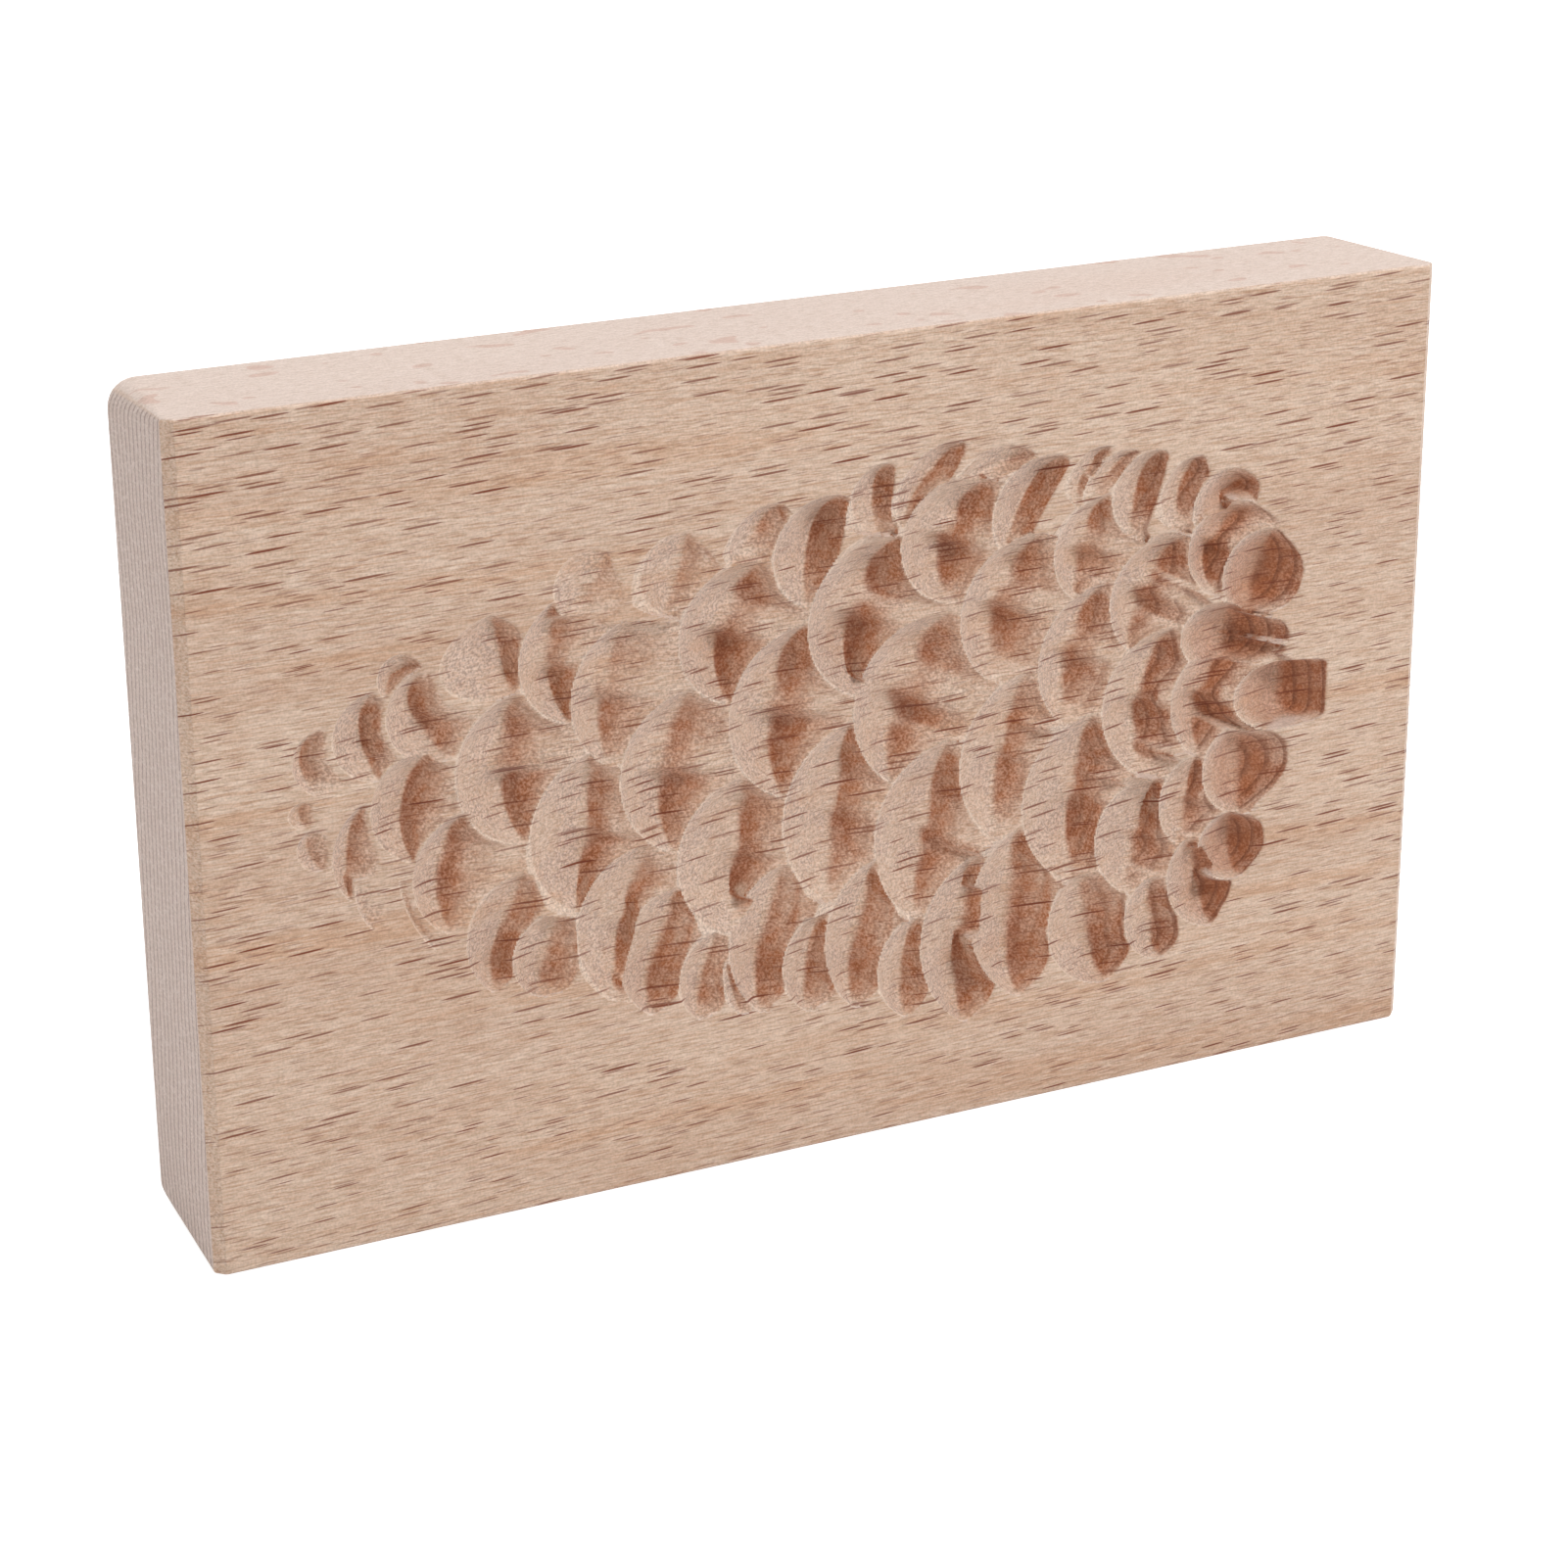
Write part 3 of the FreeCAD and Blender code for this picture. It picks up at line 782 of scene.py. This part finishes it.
class Beech(Shader):
    """Flat-sawn beech: soft rings, fine streaks along the grain, short dark flecks, and painted shade and
    highlights in the carving.
    """

    def __init__(self):
        super().__init__("beech")
        self.along, self.deep, self.high = self.parts(self.place)
        self.below_face = self.math("SUBTRACT", self.deep, board_low.y)
        normal = self.add("ShaderNodeNewGeometry").outputs["Normal"]
        self.facing_stem, facing_back, facing_up = self.parts(normal)
        near_end = self.between_mm(self.math("ABSOLUTE", self.along), *sawn_end_begins)
        sawn = self.between(self.math("ABSOLUTE", self.facing_stem), *faces_end)
        self.sawn_end = self.product(sawn, near_end)
        self.to_front = self.between(self.math("MULTIPLY", facing_back, -1.0), *faces_front)
        below = self.between_mm(self.below_face, *carved_below_face)
        self.carved = self.product(below, self.to_front, self.rest(near_end))
        upright = self.between(self.math("ABSOLUTE", facing_up), *faces_up)
        self.long_side = self.product(upright, self.rest(self.carved))
        self.late = self.late_wood_share()
        self.fibres = self.noise(*long_fibres)
        self.streaks = self.noise(*ring_streaks)
        self.speckle = self.noise(*granules)
        self.patchy = self.lifted(self.between(self.noise(*rough_patches), *rough_patches_show), least_patchy)

    def late_wood_share(self):
        """The darker late wood of the yearly rings."""
        sway = self.product(self.math("SUBTRACT", self.noise(*ring_sway), 0.5), ring_sway_depth * MM)
        wobble = self.product(self.math("SUBTRACT", self.noise(*ring_wobble), 0.5), ring_wobble_depth * MM)
        level = self.math("ADD", self.deep, self.product(self.high, ring_tilt))
        rings = self.math("ADD", level, self.math("ADD", sway, wobble))
        turn = self.math("FRACT", self.math("DIVIDE", rings, ring_spacing * MM))
        return self.product(self.between(turn, *late_wood_grows), self.between(turn, *late_wood_ends))

    def from_cone_middle(self, place, middle, half_size):
        """How far a place lies from the cone's middle, as a share of its half size."""
        return self.math("MULTIPLY_ADD", place, 1 / (half_size * MM), -middle / half_size)

    def depth_below_ridges(self):
        """How far a point lies below the ridges between the scales."""
        across = self.from_cone_middle(self.along, cone_middle_x, cone_half_length)
        up = self.from_cone_middle(self.high, cone_middle_z, cone_half_height)
        off_middle = self.math("ADD", self.product(across, across), self.product(up, up))
        ridge = self.product(self.math("MAXIMUM", self.rest(off_middle), 0.0), ridge_depth_at_middle * MM)
        return self.math("SUBTRACT", self.below_face, ridge)

    def flat_face(self):
        """The sanded face: clouds of colour, bands, streaks and fibres."""
        base = self.tint(self.shows(self.noise(*colour_clouds), *pink_clouds_show), pale_wood, pink_wood)
        base = self.tint(self.shows(self.noise(*wide_bands), *tan_bands_show), base, tan_band)
        base = self.tint(self.shows(self.streaks, *late_streaks_show), base, late_wood)
        base = self.tint(self.shows(self.fibres, *dark_fibres_show), base, fibre_dark)
        base = self.tint(self.shows(self.fibres, *pale_fibres_show), base, fibre_pale)
        return self.tint(self.product(self.late, late_wood_strength), base, late_wood)

    def sides(self, base):
        """The planed long sides, paler with painted sheen, with their ray patches, and the sawn ends with
        their rings.
        """
        # The long sides are made paler and greyer, with the top's grazing sheen painted in
        base = self.tint(self.product(self.long_side, side_tone_and_sheen_strength), base, side_tone_and_sheen)
        patch = self.shows(self.noise(*side_patches), *side_patches_show)
        base = self.tint(self.product(self.long_side, patch), base, side_patch)
        end = self.tint(self.late, end_grain, end_line)
        end = self.tint(self.shows(self.noise(*end_rays), *end_rays_show), end, end_ray)
        return self.tint(self.product(self.sawn_end, end_grain_strength), base, end)

    def carved_slopes(self, base):
        """The carving: duller slopes towards the stem, painted shade on the slopes towards the tip, and
        painted highlights on the rims.
        """
        rough = self.between(self.speckle, *roughness_shows)
        to_stem = self.lifted(self.between(self.facing_stem, *slope_to_stem), least_cut_to_stem)
        cut = self.product(self.carved, to_stem, self.lifted(rough, least_cut_rough), self.patchy)
        base = self.tint(self.product(cut, cut_wood_strength), base, cut_wood)

        # Painted shade: slopes facing the tip, away from the key lamp, and steep ones, deeper in the hollows
        sunk = self.depth_below_ridges()
        hollow = self.between_mm(sunk, *hollow_below_ridges)
        facing_tip = self.math("MULTIPLY", self.facing_stem, -1.0)
        to_tip = self.between(facing_tip, *slope_to_tip)
        steep = self.between(facing_tip, *steep_to_tip)
        mottled = self.lifted(self.between(self.noise(*shade_mottles), *shade_mottles_show), least_mottled)
        shaded = self.math("MAXIMUM", self.product(to_tip, self.lifted(hollow, least_shade_shallow)), steep)
        shaded = self.product(shaded, self.carved, self.lifted(rough, least_shade_smooth), mottled)
        base = self.tint(shaded, base, painted_shade_brown)

        # The painted shade grows darker deep in the hollows and towards the stem end, and redder in the
        # hollows there
        near_stem = self.between_mm(self.along, *stem_end_darkens)
        darkest = self.between_mm(sunk, *darkest_below_ridges)
        darkened = self.math("MAXIMUM", darkest, self.product(near_stem, stem_end_shade_strength))
        base = self.tint(self.product(shaded, darkened, deep_shade_strength), base, painted_deep_shade)
        reddened = self.product(self.between_mm(self.along, *stem_end_reddens), stem_end_red_strength)
        base = self.tint(self.product(self.carved, hollow, reddened), base, painted_shade_brown)
        # The yearly rings on the slopes towards the tip near the stem end, drawn dark because they lie in the
        # painted shade
        lines = self.product(self.late, self.lifted(near_stem, least_line_from_stem), to_tip, self.carved)
        base = self.tint(self.product(lines, shaded_ring_line_strength), base, shaded_ring_line)

        # Painted highlight along the rims: just below the face and the ridges, on slopes towards the stem and
        # the key lamp
        below_face = self.between_mm(self.below_face, *rim_highlight_below_face)
        at_ridge = self.between_mm(sunk, *rim_highlight_below_ridges)
        falling = self.between(self.facing_stem, *rim_highlight_slope)
        rim = self.product(below_face, self.to_front, at_ridge, falling, rim_highlight_strength)
        return self.tint(rim, base, painted_rim_highlight)

    def fine_texture(self, base):
        """The granules of cut wood, and the finest fibres."""
        granular = self.lifted(self.product(self.carved, self.patchy), least_granular)
        fine = self.noise(*fine_fibres)
        pale = self.product(granular, self.shows(self.speckle, *fine_high_shows))
        base = self.shade(pale, base, pale_granule)
        dark = self.product(granular, self.shows(self.speckle, *fine_low_shows))
        base = self.shade(dark, base, dark_granule)
        base = self.shade(self.shows(fine, *fine_high_shows), base, dark_fibre)
        return self.shade(self.shows(fine, *fine_low_shows), base, pale_fibre)

    def flecks(self, cell, chance):
        """Where the short dark rays of beech cut the surface: long thin cells, some of them filled."""
        cells = self.add("ShaderNodeTexVoronoi", scale=1.0, vector=self.in_cells(cell, fleck_turn))
        picks = self.add("ShaderNodeSeparateColor")
        self.feed(picks.inputs[0], cells.outputs["Color"])
        chosen = self.math("LESS_THAN", picks.outputs[0], chance)
        reach = self.math("ADD", least_fleck_reach, self.product(picks.outputs[1], fleck_reach_play))
        share = self.rest(self.math("DIVIDE", cells.outputs["Distance"], reach))
        strength = self.lifted(picks.outputs[2], least_fleck_strength)
        return self.product(chosen, strength, self.between(share, 0.0, fleck_edge))

    def finish(self, base, flecks):
        """Sets the surface: its colour, its dull gloss and its fine relief with the flecks as pits."""
        self.feed(self.surface.inputs["Base Color"], base)
        self.surface.inputs["Roughness"].default_value = wood_roughness
        self.surface.inputs["Specular IOR Level"].default_value = wood_gloss
        self.surface.inputs["Sheen Weight"].default_value = wood_sheen
        self.surface.inputs["Sheen Roughness"].default_value = wood_sheen_roughness
        streaks = self.product(self.streaks, streak_height)
        fibres = self.product(self.fibres, fibre_height)
        granules_of_cut = self.product(self.speckle, self.carved, granule_height)
        grain = self.math("ADD", self.math("ADD", streaks, fibres), granules_of_cut)
        pits = self.math("SUBTRACT", grain, self.product(flecks, fleck_depth))
        relief = self.add("ShaderNodeBump", strength=grain_strength, distance=grain_height * MM, height=pits)
        self.feed(self.surface.inputs["Normal"], relief.outputs["Normal"])


def beech():
    """The board's wood, from its wide clouds of colour to its flecks."""
    wood = Beech()
    base = wood.fine_texture(wood.carved_slopes(wood.sides(wood.flat_face())))
    dark = wood.flecks(fleck_cell, fleck_share)
    faint = wood.product(wood.flecks(faint_fleck_cell, faint_fleck_share), faint_fleck_strength)
    on_face = wood.rest(wood.math("MAXIMUM", wood.long_side, wood.sawn_end))
    base = wood.tint(wood.product(wood.math("MAXIMUM", dark, faint), on_face), base, dark_fleck)
    wood.finish(base, dark)
    return wood.material


# Floor and room: half the floor's size in metres, its colour, and how much it glows to the camera
floor_half_size = 3.0
floor_colour = colour(236, 236, 236)
floor_roughness = 0.9
floor_gloss = 0.1
floor_glow = 0.75
white = (1, 1, 1, 1)
room_light = 0.25


def white_floor():
    """A plain white floor, which takes the board's soft shadow."""
    plane = bmesh.new()
    bmesh.ops.create_grid(plane, x_segments=1, y_segments=1, size=floor_half_size)
    mesh = bpy.data.meshes.new("floor")
    plane.to_mesh(mesh)
    plane.free()
    floor = bpy.data.objects.new("floor", mesh)
    bpy.context.scene.collection.objects.link(floor)
    paper = Shader("white_floor")
    paper.surface.inputs["Base Color"].default_value = floor_colour
    paper.surface.inputs["Roughness"].default_value = floor_roughness
    paper.surface.inputs["Specular IOR Level"].default_value = floor_gloss
    glowing = paper.add("ShaderNodeAddShader")
    paper.feed(glowing.inputs[0], paper.surface.outputs[0])
    paper.feed(glowing.inputs[1], paper.add("ShaderNodeEmission", strength=floor_glow).outputs[0])
    paper.show_one_of(paper.seen_directly(), paper.surface.outputs[0], glowing.outputs[0], "Material Output")
    mesh.materials.append(paper.material)


def pale_room():
    """An even pale room that lights the board, seen as plain white beyond the floor."""
    world = bpy.data.worlds.new("studio")
    bpy.context.scene.world = world
    world.use_nodes = True
    room = Nodes(world.node_tree)
    light = room.tree.nodes["Background"]
    light.inputs["Color"].default_value = white
    light.inputs["Strength"].default_value = room_light
    surround = room.add("ShaderNodeBackground", color=white, strength=1.0)
    room.show_one_of(room.seen_directly(), light.outputs[0], surround.outputs[0], "World Output")


# Three soft lamps by their place in metres, width and power, and the point that they look at
lamps = {
    "key_above_right": ((0.50, -0.78, 0.90), 0.35, 8.6),
    "fill_left": ((-1.3, -0.10, 0.45), 0.9, 4.7),
    "top": ((0.1, 0.15, 1.2), 0.7, 6.5),
}
lit_point = Vector((0.0, 0.0, 0.05))


def soft_lamp(name, place, width, power):
    """A square soft light that looks at the board."""
    light = bpy.data.lights.new(name, "AREA")
    light.size = width
    light.energy = power
    lamp = bpy.data.objects.new(name, light)
    lamp.location = place
    lamp.rotation_euler = (lit_point - Vector(place)).to_track_quat("-Z", "Y").to_euler()
    bpy.context.scene.collection.objects.link(lamp)


# Camera: its place in millimetres, where it looks, in degrees, its lens for a frame of a width in
# millimetres, and the nearest that it sees, in metres
camera_place = (-191.9, -381.9, 198.8)
camera_azimuth = -26.315
camera_elevation = 20.16
camera_roll = -0.386
camera_lens = 87.34
camera_frame_width = 36.0
camera_near = 0.01


def photo_camera():
    """The camera at the photograph's place, with no shift."""
    azimuth, elevation = math.radians(camera_azimuth), math.radians(camera_elevation)
    back = Vector((math.sin(azimuth) * math.cos(elevation), -math.cos(azimuth) * math.cos(elevation),
                   math.sin(elevation)))
    right = (-back).cross(Vector((0, 0, 1))).normalized()
    up = right.cross(-back)
    roll = math.radians(camera_roll)
    rolled_right = right * math.cos(roll) + up * math.sin(roll)
    rolled_up = up * math.cos(roll) - right * math.sin(roll)
    axes = Matrix((rolled_right, rolled_up, back)).transposed().to_4x4()
    lens = bpy.data.cameras.new("camera")
    lens.lens = camera_lens
    lens.sensor_width = camera_frame_width
    lens.clip_start = camera_near
    camera = bpy.data.objects.new("camera", lens)
    camera.matrix_world = Matrix.Translation(Vector(camera_place) * MM) @ axes
    bpy.context.scene.collection.objects.link(camera)
    bpy.context.scene.camera = camera


board = carved_board()
board.data.materials.append(beech())
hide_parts("mould_board")
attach(board, "root")
white_floor()
pale_room()
for name, (place, width, power) in lamps.items():
    soft_lamp(name, place, width, power)
photo_camera()
bpy.context.scene.view_settings.view_transform = "Standard"
